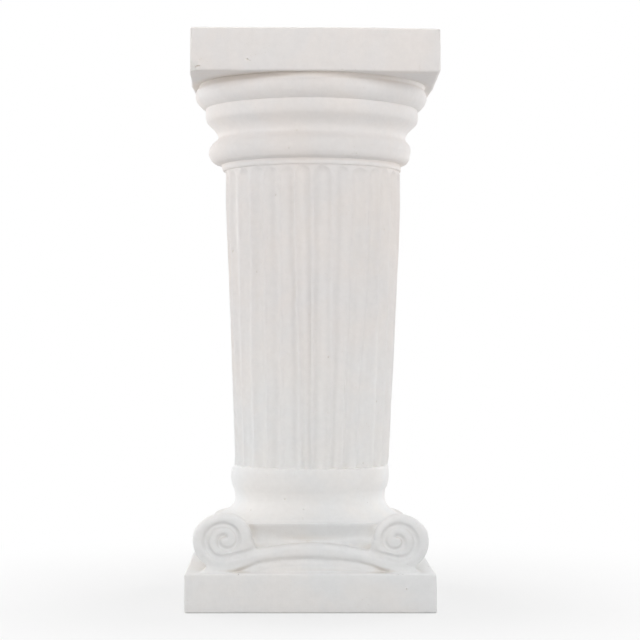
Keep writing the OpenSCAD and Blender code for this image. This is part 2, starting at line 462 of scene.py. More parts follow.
def grain_group():
    """Fine grain, pits and soft trowel streaks of a cast surface, as a height and a speckle mask."""
    tree, wire, start, end = new_tree(
        "Plaster grain", "ShaderNodeTree",
        [("Vector", "vector", None), ("Grain Scale", "float", 900.0), ("Swell Scale", "float", 60.0),
         ("Streaks", "float", 0.5)],
        [("Height", "float"), ("Speckle", "float"), ("Swell", "float")])
    place = start.outputs["Vector"]
    grain = wire.noise(place, start.outputs["Grain Scale"], 4.0, Roughness=0.6)
    swell = wire.noise(place, start.outputs["Swell Scale"], 3.0, Roughness=0.55)
    drawn = wire.node("ShaderNodeMapping", {"Vector": place, "Scale": (1.0, 1.0, 0.06)}).outputs[0]
    streak = wire.noise(drawn, 240.0, 3.0)
    cells = wire.node("ShaderNodeTexVoronoi", {"Vector": place, "Scale": 210.0, "Randomness": 1.0},
                      feature="F1").outputs["Distance"]
    # Pits come in loose groups
    pick = wire.noise(place, 35.0, 1.0)
    pit = wire.sum("MULTIPLY", wire.span(cells, 0.05, 0.16, 1.0, 0.0, True),
                   wire.span(pick, 0.56, 0.66, 0.0, 1.0, True))
    height = wire.sum("MULTIPLY_ADD", grain, 0.25, wire.sum("MULTIPLY", swell, 0.9))
    height = wire.sum("MULTIPLY_ADD", wire.sum("MULTIPLY", streak, start.outputs["Streaks"]), 0.5, height)
    height = wire.sum("MULTIPLY_ADD", pit, -0.6, height)
    wire.feed(end.inputs["Height"], height)
    wire.feed(end.inputs["Speckle"], pit)
    wire.feed(end.inputs["Swell"], swell)
    return tree


def mottle_group():
    """Broad warm and cool patches, with a finer cloud over them."""
    tree, wire, start, end = new_tree(
        "Plaster mottling", "ShaderNodeTree",
        [("Vector", "vector", None), ("Warm", "color", (0.8, 0.785, 0.765, 1)),
         ("Cool", "color", (0.78, 0.78, 0.785, 1)), ("Scale", "float", 9.0)],
        [("Color", "color")])
    place = start.outputs["Vector"]
    broad = wire.noise(place, start.outputs["Scale"], 4.0, Roughness=0.6, Distortion=0.4)
    fine = wire.noise(place, 130.0, 5.0, Roughness=0.7)
    patch = wire.span(broad, 0.36, 0.66, 0.0, 1.0, True)
    color = wire.mix(patch, start.outputs["Warm"], start.outputs["Cool"])
    wire.feed(end.inputs["Color"], wire.vector("SCALE", color, wire.span(fine, 0.3, 0.7, 0.975, 1.02)))
    return tree


def plaster_material(look):
    """Matte cast plaster with grain, mottling, painted shade and dust in the recesses, dusty pits, and darker
    fractures whose colour also paints the shade on the break.
    """
    material = bpy.data.materials.get("Cast plaster") or bpy.data.materials.new("Cast plaster")
    material.use_nodes = True
    tree = material.node_tree
    tree.nodes.clear()
    wire = Wiring(tree)
    place = wire.node("ShaderNodeTexCoord").outputs["Object"]
    grain = wire.node("ShaderNodeGroup", node_tree=grain_group())
    wire.feed(grain.inputs["Vector"], place)
    mottle = wire.node("ShaderNodeGroup", node_tree=mottle_group())
    wire.feed(mottle.inputs["Vector"], place)
    wire.feed(mottle.inputs["Warm"], (*look.body, 1))
    wire.feed(mottle.inputs["Cool"], (*look.cool, 1))
    recess = wire.node("ShaderNodeAttribute", attribute_name="recess").outputs["Fac"]
    broken = wire.node("ShaderNodeAttribute", attribute_name="broken").outputs["Fac"]
    level = wire.node("ShaderNodeSeparateXYZ", {"Vector": place}).outputs["Z"]
    # The aged tint comes in at an uneven height
    age = wire.noise(place, 5.0, 3.0)
    age = wire.sum("ADD", level, wire.sum("MULTIPLY", wire.sum("SUBTRACT", age, 0.5), 0.25))
    color = wire.mix(wire.span(age, 0.12, 0.42, 0.0, 1.0, True), mottle.outputs["Color"],
                     wire.mix(1.0, mottle.outputs["Color"], (*look.aged, 1), "MULTIPLY"))
    # Painted shade and dust: the more closed in a point is, the darker and warmer it is painted
    color = wire.mix(wire.span(recess, 0.04, 0.50, 0.0, 0.33, True), color, (*look.dust_and_shade, 1))
    color = wire.mix(wire.sum("MULTIPLY", grain.outputs["Speckle"], 0.35, clamp=True), color, (*look.dust_and_shade, 1))
    # The chip's break gets a darker colour, as painted shade
    color = wire.mix(broken, color, (*look.fracture_and_shade, 1))
    bump = wire.node("ShaderNodeBump", {
        "Strength": 0.5, "Distance": 0.0006, "Height": grain.outputs["Height"]})
    rough = wire.span(grain.outputs["Swell"], 0.3, 0.7, look.roughness - 0.06, look.roughness + 0.08)
    shader = wire.node("ShaderNodeBsdfPrincipled", {
        "Base Color": color, "Roughness": rough, "Normal": bump.outputs["Normal"],
        "Specular IOR Level": 0.3, "IOR": 1.5})
    wire.node("ShaderNodeOutputMaterial", {"Surface": shader.outputs[0]})
    return material


# Fluted shaft

# How far the ridges between the flutes have drifted round the shaft, at the flutes' heads and at their feet.
# Each pair is a place round it, from 0 and 1 at the back to 0.5 at the front, and the drift there, where 0.5
# is none and 0 and 1 are half of DRIFT_DEGREES to either side.
DRIFT_DEGREES = 10.0
HEAD_DRIFT = (
    (0.0, 0.5), (0.20, 0.5), (0.30, 0.30), (0.34, 0.61), (0.372, 0.72), (0.405, 0.65), (0.45, 0.60),
    (0.497, 0.31), (0.535, 0.42), (0.57, 0.48), (0.61, 0.63), (0.64, 0.45), (0.667, 0.39), (0.78, 0.5),
    (1.0, 0.5))
FOOT_DRIFT = (
    (0.0, 0.5), (0.24, 0.5), (0.333, 0.34), (0.372, 0.49), (0.407, 0.60), (0.442, 0.64), (0.476, 0.73),
    (0.501, 0.38), (0.535, 0.40), (0.563, 0.24), (0.60, 0.14), (0.645, 0.60), (0.68, 0.72), (0.78, 0.5),
    (1.0, 0.5))
# How far the first ridge stands off the front, in degrees
FIRST_RIDGE = 1.5


def shaft_radius(wire, given, z):
    """Radius over the ridges: it widens upwards and turns softly into a straight top."""
    rise = wire.sum("SUBTRACT", z, given["Foot Level"])
    slope = wire.sum("DIVIDE", wire.sum("SUBTRACT", given["Top Radius"], given["Foot Radius"]),
                     wire.sum("SUBTRACT", given["Straight From"], given["Foot Level"]))
    return wire.sum("SMOOTH_MIN", wire.sum("MULTIPLY_ADD", rise, slope, given["Foot Radius"]),
                    given["Top Radius"], 2.0)


def ridge_drift(wire, given, turn, z, place):
    """How far the ridges stand off their even places, in degrees."""
    share = wire.sum("ADD", turn, 0.5)
    head, foot = wire.curve(share, HEAD_DRIFT), wire.curve(share, FOOT_DRIFT)
    along = wire.span(z, 235.0, 490.0, 0.0, 1.0, True)
    drift = wire.sum("ADD", wire.sum("MULTIPLY", head, along),
                     wire.sum("MULTIPLY", foot, wire.sum("SUBTRACT", 1.0, along)))
    drift = wire.sum("MULTIPLY", wire.sum("SUBTRACT", drift, 0.5), DRIFT_DEGREES)
    sway = wire.noise(place, 22.0, 2.0, given["Seed"])
    return wire.sum("ADD", drift, wire.sum("MULTIPLY", wire.sum("SUBTRACT", sway, 0.5), 2.2))


def shaft_tree():
    """A cylinder whose faces are pushed into a widening shaft with round-headed flutes, in millimetres."""
    tree, wire, start, end = new_tree(
        "Fluted shaft", "GeometryNodeTree",
        [("Foot Radius", "float", 97.4), ("Top Radius", "float", 110.6), ("Straight From", "float", 480.0),
         ("Foot Level", "float", 167.0), ("Head Level", "float", 537.7), ("Flutes", "int", 30),
         ("Depth", "float", 5.4), ("Ridge", "float", 4.0), ("Seed", "float", 4.0), ("Cuts", "int", 14),
         ("Rows", "int", 84), ("Material", "material", None)],
        [("Geometry", "geometry")])
    given = start.outputs
    flutes = given["Flutes"]
    body = wire.node("GeometryNodeMeshCylinder", {
        "Vertices": wire.sum("MULTIPLY", flutes, given["Cuts"]), "Side Segments": given["Rows"],
        "Radius": 1.0, "Depth": 1.0}, fill_type="TRIANGLE_FAN")
    split = wire.node("ShaderNodeSeparateXYZ", {"Vector": wire.node("GeometryNodeInputPosition").outputs[0]})
    x, y, level = split.outputs
    level = wire.sum("ADD", level, 0.5)
    # Rows stand close together at the flutes' heads
    z = wire.sum("ADD", wire.span(level, 0.0, 0.62, wire.sum("SUBTRACT", given["Foot Level"], 10.0),
                                  wire.sum("SUBTRACT", given["Head Level"], 24.0)),
                 wire.span(level, 0.62, 1.0, 0.0, 31.0))
    radius = shaft_radius(wire, given, z)
    # Turn counted from the front towards the right, from -0.5 to 0.5
    angle = wire.sum("ARCTAN2", y, x)
    turn = wire.sum("WRAP", wire.sum("MULTIPLY_ADD", angle, 1 / (2 * math.pi), 0.25), 0.5, -0.5)
    place = wire.node("ShaderNodeCombineXYZ", {
        "X": wire.sum("MULTIPLY", x, 0.105), "Y": wire.sum("MULTIPLY", y, 0.105),
        "Z": wire.sum("MULTIPLY", z, 0.0006)}).outputs[0]
    drift = ridge_drift(wire, given, turn, z, place)
    cell = wire.sum("MULTIPLY_ADD", drift, -1 / 360, -FIRST_RIDGE / 360)
    cell = wire.sum("MULTIPLY", wire.sum("ADD", turn, cell), flutes)
    across = wire.sum("SUBTRACT", wire.sum("FRACT", cell), 0.5)
    pitch = wire.sum("DIVIDE", wire.sum("MULTIPLY", radius, 2 * math.pi), flutes)
    # Each flute is a round trough with a round head, which stands a little up or down
    uneven = wire.chance(-1.0, 1.0, 7, wire.sum("FLOOR", cell))
    half = wire.sum("MULTIPLY", wire.sum("SUBTRACT", pitch, given["Ridge"]), 0.5)
    aside = wire.sum("MULTIPLY", wire.sum("ABSOLUTE", across), pitch)
    head = wire.sum("SUBTRACT", wire.sum("MULTIPLY_ADD", uneven, 0.9, given["Head Level"]), half)
    over = wire.sum("MAXIMUM", wire.sum("SUBTRACT", z, head), 0.0)
    away = wire.sum("ADD", wire.sum("MULTIPLY", aside, aside), wire.sum("MULTIPLY", over, over))
    bowl = wire.sum("SUBTRACT", 1.0, wire.sum("DIVIDE", away, wire.sum("MULTIPLY", half, half)))
    # The trough's rim is softened where the bowl meets the ridge
    soft = wire.sum("SQRT", wire.sum("MULTIPLY_ADD", bowl, bowl, 0.006))
    bowl = wire.sum("POWER", wire.sum("MULTIPLY", wire.sum("ADD", bowl, soft), 0.5), 0.85)
    deep = wire.sum("MULTIPLY", given["Depth"], wire.sum("DIVIDE", radius, given["Top Radius"]))
    wear = wire.noise(place, 34.0, 2.0, wire.sum("ADD", given["Seed"], 9.0))
    deep = wire.sum("MULTIPLY", deep, wire.span(wear, 0.25, 0.75, 0.72, 1.18))
    radius = wire.sum("SUBTRACT", radius, wire.sum("MULTIPLY", deep, bowl))
    moved = wire.node("ShaderNodeCombineXYZ", {
        "X": wire.sum("MULTIPLY", wire.sum("MULTIPLY", x, radius), MM),
        "Y": wire.sum("MULTIPLY", wire.sum("MULTIPLY", y, radius), MM),
        "Z": wire.sum("MULTIPLY", z, MM)})
    shaped = wire.node("GeometryNodeSetPosition", {
        "Geometry": body.outputs["Mesh"], "Position": moved.outputs[0]})
    close_tree(wire, end, shaped.outputs[0], given["Material"])
    return tree


class COLUMN_OT_shaft(bpy.types.Operator):
    """Make the fluted shaft"""
    bl_idname = "column.shaft"
    bl_label = "Fluted shaft"

    def execute(self, context):
        sizes = context.scene.column_shaft
        lengths = ("foot_radius", "top_radius", "straight_from", "foot_level", "head_level", "depth", "ridge")
        obj = put("shaft", bpy.data.meshes.new("shaft"))
        add_nodes(obj, shaft_tree(), **{name: getattr(sizes, name) / MM for name in lengths},
                  flutes=sizes.flutes, seed=sizes.seed, cuts=14,
                  rows=84, material=plaster_material(context.scene.column_look))
        rework(obj)
        return {"FINISHED"}


# Ringed mouldings

# Height of the collar's underside, in millimetres
COLLAR_FOOT = 539.4


def moulding_profile(sizes, top):
    """Outline of the mouldings from under the collar into the top slab, in millimetres."""
    collar, roll, hollow = sizes.collar_radius / MM, sizes.roll_radius / MM, sizes.hollow_radius / MM
    middle, upper = sizes.middle_radius / MM, sizes.upper_radius / MM
    rows = [(60, COLLAR_FOOT), (collar - 2.2, COLLAR_FOOT)]
    rows += curve_through([
        (collar - 1.2, 539.7), (collar - 0.1, 541.4), (collar, 544.2), (collar - 0.3, 547.2)], 1.2)
    # The roll, and the hollow over it
    rows += curve_through([
        (collar + 1.0, 547.9), (roll - 6.8, 549.6), (roll - 2.4, 554.2), (roll - 0.4, 560.0), (roll, 565.0),
        (roll - 0.9, 569.8), (roll - 3.2, 573.6), (roll - 6.4, 577.0), (hollow + 0.5, 580.0), (hollow, 583.0),
        (hollow + 1.4, 587.0), (hollow + 5.0, 592.0), (hollow + 9.4, 596.4)], 2.0)
    # The middle ring and the upper ring
    rows += curve_through([
        (middle - 4.6, 598.2), (middle - 1.6, 601.6), (middle - 0.2, 606.0), (middle, 611.0),
        (middle - 0.4, 615.6), (middle - 0.6, 617.6)], 1.7)
    rows += curve_through([
        (upper - 10.8, 618.4), (upper - 7.4, 620.8), (upper - 3.4, 625.0), (upper - 1.0, 629.4),
        (upper, 633.4), (upper - 0.5, 637.4), (upper - 1.9, 641.0), (upper - 4.2, 644.2),
        (upper - 6.4, top + 0.6)], 1.2)
    # The core runs on into the slab, so that the two join
    rows += [(upper - 7.6, top + 12), (60, top + 12)]
    return rows


class COLUMN_OT_mouldings(bpy.types.Operator):
    """Make the ringed mouldings under the top slab"""
    bl_idname = "column.mouldings"
    bl_label = "Ringed mouldings"

    def execute(self, context):
        sizes = context.scene.column_mouldings
        top = HEIGHT / MM - context.scene.column_slabs.top_height / MM
        put("mouldings", turned(moulding_profile(sizes, top), sizes.sides // (1)))
        return {"FINISHED"}


# Slabs

class COLUMN_OT_slabs(bpy.types.Operator):
    """Make the foot slab and the top slab"""
    bl_idname = "column.slabs"
    bl_label = "Square slabs"

    def execute(self, context):
        sizes = context.scene.column_slabs
        half = sizes.half_width
        slabs = (("foot slab", 0, sizes.foot_height), ("top slab", HEIGHT - sizes.top_height, HEIGHT))
        for name, low, high in slabs:
            put(name, rounded_box((-half, -half, low), (half, half, high), sizes.edge, sizes.cell))
        return {"FINISHED"}


# Scrolled capital

# A distance past any real one, and a number that keeps a sum from dividing by nothing
FAR = 1e9
TINY = 1e-9


def soft_union(a, b, reach):
    """Joins two distance fields with a fillet."""
    h = np.clip(0.5 + 0.5 * (b - a) / reach, 0, 1)
    return b + (a - b) * h - reach * h * (1 - h)


def raised(flat, depth, edge):
    """Distance field of a flat shape raised to a depth, with rounded edges."""
    a, b = np.maximum(flat + edge, 0), np.maximum(depth + edge, 0)
    return np.sqrt(a * a + b * b) + np.minimum(np.maximum(flat, depth) + edge, 0) - edge


def outline_distance(r, z, outline):
    """Signed distance from each r and z to a closed outline, negative inside."""
    pts = np.array(outline, float)
    best = np.full(r.shape, FAR)
    inside = np.zeros(r.shape, bool)
    for (ax, az), (bx, bz) in zip(pts, np.roll(pts, -1, axis=0)):
        dx, dz = bx - ax, bz - az
        t = np.clip(((r - ax) * dx + (z - az) * dz) / (dx * dx + dz * dz + TINY), 0, 1)
        best = np.minimum(best, (r - ax - t * dx) ** 2 + (z - az - t * dz) ** 2)
        cross = (az > z) != (bz > z)
        inside ^= cross & (r < ax + (z - az) * dx / (dz if dz else TINY))
    return np.where(inside, -1, 1) * np.sqrt(best)


def turned_outline(sizes):
    """Outline of the core, the flare, the necking and the bead, in millimetres."""
    neck, bead, lip = sizes.neck_radius / MM, sizes.bead_radius / MM, sizes.lip_radius / MM
    rows = [(-5, 30), (112, 30), (112, 82)]
    # The lip's slanted underside and its edge
    rows += curve_through([
        (112.8, 85.0), (115.2, 89.0), (118.6, 93.4), (lip - 4.6, 98.0), (lip - 2.0, 101.4),
        (lip - 1.0, 103.6), (lip - 0.9, 105.6)], 1.5)
    # The flare's hollow, from near the lip up to the necking
    rows += [(neck + (lip - neck) * t ** 2.25, 131.5 - 30 * t) for t in np.linspace(0.88, 0.0, 16)]
    rows += curve_through([
        (neck + 0.1, 133.0), (neck + 0.9, 137.0), (neck + 3.2, 141.8), (bead - 0.8, 146.4),
        (bead, 151.5), (bead - 0.1, 157.0), (bead - 0.5, 162.0), (bead - 1.5, 166.0)], 1.5)
    return rows + [(bead - 3.0, 168.0), (bead - 6.5, 168.6), (bead - 12, 168.4), (-5, 168.4)]


# Each scroll's middle at the front, and which way it turns, in millimetres
SCROLLS = ((-101.6, 85.3, -1), (104.6, 84.5, 1))
# How far in and down the rolled sides' rear ends stand from the scrolls at the front
REAR_IN = 10.0
REAR_DOWN = 7.5
# How much fuller a roll is at its outer side, and how much narrower the right one is at its inner side
SWELL = 5.0
NARROW = 5.0
# Width of the scrolls' grooves at their start and at the eye, and how far they start over the band's middle
GROOVE_START = 7.6
GROOVE_END = 5.0
GROOVE_OVER = 7.6


class Grid:
    """An even grid round the capital, in millimetres."""

    def __init__(self, cell):
        xs = np.arange(-153, 153.1, cell, dtype=np.float32)
        ys = np.arange(-147, 147.1, cell, dtype=np.float32)
        zs = np.arange(38, 173, cell, dtype=np.float32)
        self.cell, self.levels, self.corner = cell, zs, (xs[0], ys[0], zs[0])
        self.x, self.y, self.z = xs[:, None, None], ys[None, :, None], zs[None, None, :]
        self.face_x, self.face_z = np.meshgrid(xs, zs, indexing="ij")


def roll_ends(sizes):
    """The ends of the rolled sides: -1 at the front, 1 at the rear, and their size against the front."""
    return (-1, 1.0), (1, sizes.rear_radius / MM / (sizes.scroll_radius / MM))


def scroll_ends(side):
    """Middle of each rolled side's end at the front (-1) or the rear (1), and which way it turns."""
    if side < 0:
        return SCROLLS
    return [(middle - way * REAR_IN, height - REAR_DOWN, way) for middle, height, way in SCROLLS]


def narrowing(lean, way):
    """How much narrower a roll is over its top and at its inner side, by the angle round its middle."""
    return (NARROW if way > 0 else 0.0) * step(80, 140, np.abs(lean)) + 2.0 * step(42, 75, lean)


def groove_path(size, middle, height, way, crown, radius):
    """Middle line of a scroll's groove: along the band's upper edge, round the outside and in to the eye."""
    over = radius + GROOVE_OVER
    edge = [(x, crown - radius + math.sqrt(over ** 2 - x * x)) for x in np.arange(44, 44 + 37 * size, 6)]
    turns = np.arange(-90, 455, 9.0)
    reach = np.interp(turns, [-90, -45, 0, 45, 90, 180, 270, 360, 450],
                      [20.6, 23.0, 22.6, 21.0, 18.6, 15.6, 10.2, 7.4, 5.6]) * size
    wind = [(abs(middle) + r * math.cos(a), height + r * math.sin(a))
            for a, r in zip(np.radians(turns), reach)]
    return np.array([(way * x, z) for x, z in curve_through(edge + wind, 2.5)])


def path_distance(x, z, path, wide, narrow):
    """Distance from points in the face's plane to a groove that gets narrower."""
    best = np.full(x.shape, FAR)
    for k, ((ax, az), (bx, bz)) in enumerate(zip(path[:-1], path[1:])):
        dx, dz = bx - ax, bz - az
        t = np.clip(((x - ax) * dx + (z - az) * dz) / (dx * dx + dz * dz), 0, 1)
        width = wide + (narrow - wide) * k / len(path)
        best = np.minimum(best, np.hypot(x - ax - t * dx, z - az - t * dz) - width / 2)
    return best


def turned_field(sizes, grid):
    """Distance field of the turned core, its flare, necking and bead."""
    x, y, z, cell, levels = grid.x, grid.y, grid.z, grid.cell, grid.levels
    radii = np.arange(0, 215, cell)
    profile = outline_distance(*np.meshgrid(radii, levels, indexing="ij"), turned_outline(sizes))
    profile = profile.astype(np.float32)
    # The flare's lip drops a little towards the scrolls
    lift = -1.6 * np.clip((x / 72) ** 2, 0, 1.2) * step(70, 112, np.abs(y))
    lift = lift * (1 - step(108, 134, z)) * step(84, 92, z)
    level = np.clip((z - lift - levels[0]) / cell, 0, len(levels) - 1.001)
    # The flare is round at the neck, and squarer and a little narrower from side to side at its lip
    power = 2.7 - 0.7 * step(103, 128, z)
    across = np.abs(x) * (1.05 - 0.05 * step(106, 132, z))
    r = np.clip((across ** power + np.abs(y) ** power) ** (1 / power) / cell, 0, len(radii) - 1.001)
    i, k = r.astype(np.int32), level.astype(np.int32)
    i = np.broadcast_to(i, level.shape)
    fr, fz = r - i, level - k
    return ((profile[i, k] * (1 - fr) + profile[i + 1, k] * fr) * (1 - fz)
            + (profile[i, k + 1] * (1 - fr) + profile[i + 1, k + 1] * fr) * fz).astype(np.float32)


def add_rolls(body, sizes, grid, face):
    """Joins the rolled sides, which narrow from the front scrolls to a waist and stay smaller at the rear."""
    x, y, z = grid.x, grid.y, grid.z
    wide, waist, rear = sizes.scroll_radius / MM, sizes.waist_radius / MM, sizes.rear_radius / MM
    share = (y + face) / (2 * face)
    barrel = np.interp(share, *np.array(curve_through(
        [(0, wide), (0.05, wide), (0.16, wide - 4), (0.34, waist + 1.8), (0.5, waist), (0.7, waist + 0.8),
         (0.88, rear), (1.0, rear)], 0.02)).T)
    sink = step(0.25, 1.0, share)
    reach = 5 + (sizes.blend / MM - 5) * step(100, 114, z)
    for middle, height, way in SCROLLS:
        off_x, off_z = way * (x - middle + way * REAR_IN * sink), z - height + REAR_DOWN * sink
        lean = np.degrees(np.arctan2(off_z, off_x))
        full = (1 - step(12, 60, lean)) * (1 - step(30, 80, -lean)) * SWELL - narrowing(lean, way)
        roll = raised(np.hypot(off_x, off_z) - barrel - (full - SWELL) * (1 - sink), np.abs(y) - face, 9.0)
        body = soft_union(body, roll.astype(np.float32), reach)
    return body


def add_recess(body, grid):
    """Joins two low blocks, which fill out the recess between the scrolls and under the flare's lip."""
    for level, depth, soft in ((80, 112.5, 5.0), (97, 108.0, 8.0)):
        block = raised(np.maximum(np.abs(grid.x) - 100, grid.z - level), np.abs(grid.y) - depth, 1.0)
        body = soft_union(body, block, soft)
    return body


def add_arch(body, sizes, grid, face):
    """Joins the arched bands, which run into the scrolls' rims, and the panels under and behind them."""
    radius, crown, width = sizes.arch_radius / MM, sizes.arch_crown / MM, sizes.arch_width / MM
    wide = sizes.scroll_radius / MM
    ring = np.hypot(grid.face_x, grid.face_z - (crown - radius))[:, None, :]
    # The band is deeper at its crown, where its lower edge hangs down
    low = 1.9 * (1 - step(14, 62, np.abs(grid.x)))
    for side, size in roll_ends(sizes):
        shape = np.maximum(ring - radius, radius - ring - low) - width / 2
        for middle, height, way in scroll_ends(side):
            lean = np.degrees(np.arctan2(grid.face_z - height, way * (grid.face_x - middle)))
            rim = (wide - SWELL - narrowing(lean, way)) * size
            disc = (np.hypot(grid.face_x - middle, grid.face_z - height) - rim)[:, None, :]
            shape = soft_union(shape, disc, 15 * size)
        plate = raised(shape, np.maximum(side * grid.y - face, 112 - side * grid.y), 6.0)
        body = soft_union(body, plate.astype(np.float32), 3.5)
    panel = raised(ring - (radius - width / 2 - 7.5 - low), np.abs(grid.y) - (face - 4.5), 3.0)
    body = soft_union(body, panel, 4.0)
    gap = raised(ring - radius, np.abs(grid.y) - (face - 8.0), 1.0)
    return soft_union(body, gap, 5.0)


def cut_grooves(body, sizes, grid, face):
    """Cuts the grooves that wind round the outside of each scroll, and puts in the eyes."""
    radius, crown = sizes.arch_radius / MM, sizes.arch_crown / MM
    for side, size in roll_ends(sizes):
        for middle, height, way in scroll_ends(side):
            path = groove_path(size, middle, height, way, crown, radius)
            flat = path_distance(grid.face_x, grid.face_z, path, GROOVE_START * size, GROOVE_END * size)
            flat = flat[:, None, :]
            depth = face + 0.6 - side * grid.y
            channel = np.sqrt(np.maximum(flat + 3.2, 0) ** 2 + (depth * 0.75) ** 2) - 3.2
            body = -soft_union(-body, channel.astype(np.float32), 3.0)
            round_eye = (np.hypot(grid.face_x - middle, grid.face_z - height) ** 2)[:, None, :]
            eye = np.sqrt(round_eye + ((side * grid.y - face + 1.5) * 1.6) ** 2) - 4.2 * size
            body = soft_union(body, eye.astype(np.float32), 1.5)
    return body


def capital_field(sizes, grid):
    """Distance field of the whole capital on the grid."""
    face = sizes.ground / MM + sizes.relief / MM
    body = turned_field(sizes, grid)
    body = add_rolls(body, sizes, grid, face)
    body = add_recess(body, grid)
    body = add_arch(body, sizes, grid, face)
    body = cut_grooves(body, sizes, grid, face)
    # A thin fillet where the capital grows out of the slab
    floor = np.broadcast_to(grid.z - 46.6, body.shape)
    rim = np.maximum(np.abs(grid.x) - 148, np.abs(grid.y) - 148)
    return soft_union(body, np.maximum(floor, rim).astype(np.float32), 2.2)


def field_mesh(field, grid):
    """Turns a distance field into a closed mesh in metres."""
    field = np.ascontiguousarray(field, dtype=np.float32)
    for axis in range(3):
        edge = [slice(None)] * 3
        for side in (0, -1):
            edge[axis] = side
            field[tuple(edge)] = np.maximum(field[tuple(edge)], grid.cell)
    volume = openvdb.FloatGrid(grid.cell)
    volume.copyFromArray(field)
    points, triangles, quads = volume.convertToPolygons(isovalue=0.0, adaptivity=0.0)
    points = (np.asarray(points) * grid.cell + np.array(grid.corner)) * MM
    faces = [tuple(f) for part in (quads, triangles) for f in np.asarray(part).tolist()]
    return outward(mesh_of(points.tolist(), faces))


def thin_out(obj, triangles):
    """Reduces a mesh to about this many triangles."""
    obj.data.calc_loop_triangles()
    count = len(obj.data.loop_triangles)
    if count > triangles:
        modifier = obj.modifiers.new("thin", "DECIMATE")
        modifier.ratio = triangles / count
        rework(obj)


# About how many triangles the capital keeps
CAPITAL_TRIANGLES = 62000


class COLUMN_OT_capital(bpy.types.Operator):
    """Make the scrolled capital with its flare, necking and bead"""
    bl_idname = "column.capital"
    bl_label = "Scrolled capital"

    def execute(self, context):
        sizes = context.scene.column_capital
        grid = Grid(sizes.voxel / MM * (1))
        obj = put("capital", field_mesh(capital_field(sizes, grid), grid))
        checked(obj.data, "the capital has no surface")
        thin_out(obj, CAPITAL_TRIANGLES)
        return {"FINISHED"}


# The casting

def unite(name, parts):
    """Joins closed shells into one, under a new name."""
    main = bpy.data.objects[parts[0]]
    combine(main, parts[1:], "UNION")
    obj = put(name, main.data)
    bpy.data.objects.remove(main, do_unlink=True)
    checked(obj.data, "the shells didn't join")
    return obj


def settle(mesh, marks):
    """Moves the points as the casting leans, droops and spreads."""
    count = len(mesh.vertices)
    co = np.empty(count * 3)
    mesh.vertices.foreach_get("co", co)
    p = co.reshape(-1, 3) / MM
    x, y, z = p[:, 0].copy(), p[:, 1].copy(), p[:, 2].copy()
    half = 150
    # The mould's sections don't stand quite over each other
    p[:, 0] += marks.lean / MM * np.interp(
        z, [0, 47, 95, 140, 162, 176, 250, 320, 430, 535, 545, 560, 570, 582, 612, 628, 643.5, 650],
        [-0.45, -0.45, -0.55, -0.72, -0.65, -0.12, 0.0, 0.22, 0.32, 0.25, -0.3, -0.9, -0.5, -0.05, -0.1,
         -0.35, -0.3, 0.75])
    # The top slab spreads towards its back, more at the left
    top = step(643.5, 650, z)
    left = np.interp(y, [-half, -106, -70, -34, 4, half], [2.2, -1.2, -3.0, -5.0, -7.4, -7.4])
    right = np.interp(y, [-half, 0, 30, 80, half], [1.2, 2.4, 2.4, 0.2, -1.6])
    u = np.clip((x + half) / (2 * half), 0, 1)
    p[:, 0] += top * (left * (1 - u) ** 2 + right * u ** 2) * marks.spread
    # The foot's right side stands out a little, and the foot is a little askew
    p[:, 0] += (1 - step(43, 50, z)) * 1.3 * step(60, 152, x)
    p[:, 0] -= (1 - step(95, 120, z)) * marks.askew / MM * (y + half) / (2 * half)
    # The top's right side hangs, and the underside stays on the floor
    p[:, 2] -= step(520, 640, z) * (marks.droop / MM) * (1.6 * step(-30, 240, x) + 0.15 * (x / half))
    p[:, 2] = np.where(z < 0.3, np.maximum(p[:, 2], 0), p[:, 2])
    mesh.vertices.foreach_set("co", (p * MM).ravel())
    mesh.update()


# Air holes and small chips on the front: across, up, width, height and depth in millimetres
HOLES = (
    (-44, 503, 2.2, 2.0, 3.0), (20, 305, 2.4, 2.2, 3.6), (80, 249, 2.2, 2.0, 3.0), (20, 237, 1.8, 1.8, 2.4),
    (-33, 131, 2.2, 2.0, 3.0), (-10, 119, 2.0, 1.8, 2.6), (-18, 310, 1.6, 1.6, 2.0), (63, 174, 2.0, 1.8, 2.6),
    (-28, 558, 2.2, 2.0, 3.0), (-18, 580, 2.2, 2.0, 3.0), (-25, 626, 1.8, 1.8, 2.4), (113, 29, 2.4, 2.2, 3.4),
    (-5, 82, 2.0, 1.8, 2.6), (-22, 86, 1.6, 1.6, 2.2), (-77, 661, 3.2, 2.6, 3.6), (-74, 659.4, 1.8, 1.6, 2.4),
    (-135.5, 653.4, 5.4, 2.0, 5.0), (-138.5, 652.0, 2.6, 1.4, 4.0), (-134, 660.5, 2.2, 1.2, 1.6),
)


def blob(seed, size, rough):
    """Points and faces of a lumpy ball of this size, in millimetres."""
    shape = bmesh.new()
    bmesh.ops.create_icosphere(shape, subdivisions=2, radius=0.5)
    draw = np.random.default_rng(seed)
    swell = draw.uniform(-1, 1, (4, 3))
    for v in shape.verts:
        n = v.co.normalized()
        v.co *= 1 + rough * sum(math.sin(4 * (n.x * a + n.y * b + n.z * c) + a) for a, b, c in swell) / 4
        v.co = Vector((v.co.x * size[0], v.co.y * size[1], v.co.z * size[2]))
    points = [tuple(v.co) for v in shape.verts]
    faces = [tuple(v.index for v in f.verts) for f in shape.faces]
    shape.free()
    return points, faces


